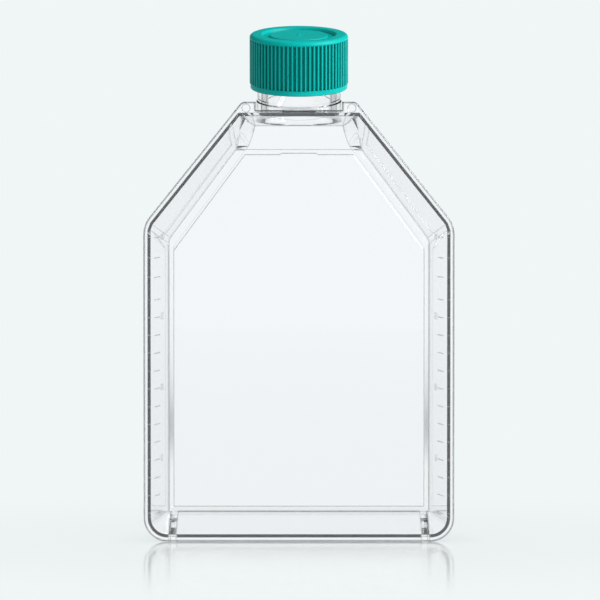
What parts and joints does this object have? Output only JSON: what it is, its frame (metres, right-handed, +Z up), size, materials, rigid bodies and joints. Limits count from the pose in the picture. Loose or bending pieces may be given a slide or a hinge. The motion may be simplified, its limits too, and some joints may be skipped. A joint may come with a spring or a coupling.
{
  "type": "cell culture flask",
  "caption": "Clear rectangular culture flask with sloped shoulders, a short neck leaning towards the lid and a ribbed teal screw cap, standing on its end.",
  "frame": {"origin": "centre of the bounding box's footprint, on the level that the flask stands on", "axes": "+Z up to the cap, +Y from the lid towards the culture plate, +X across the width"},
  "size_m": [0.1274, 0.0482, 0.2121],
  "materials": {
    "clear_body": "clear polystyrene, polished",
    "clear_lid": "clear polystyrene, polished",
    "cap_teal": "moulded teal polyethylene, semi-gloss",
    "seal_white": "soft white seal"
  },
  "bodies": {
    "flask": {"vessel_body": "clear_body", "top_plate": "clear_lid"},
    "seal": {"cap_seal": "seal_white"},
    "cap": {"screw_cap": "cap_teal"}
  },
  "joints": [
    {"name": "cap_lift", "type": "slide", "parent": "flask", "child": "seal", "axis": [0, -0.1908, 0.9816], "range_m": [0, 0.03]},
    {"name": "cap_turn", "type": "hinge", "parent": "seal", "child": "cap", "pos_m": [0, 0.00169, 0.1771], "axis": [0, -0.1908, 0.9816], "range_deg": [0, 2160]}
  ],
  "couplings": [
    {"joint": "cap_lift", "follows": "cap_turn", "m_per_rad": 0.00079577}
  ]
}
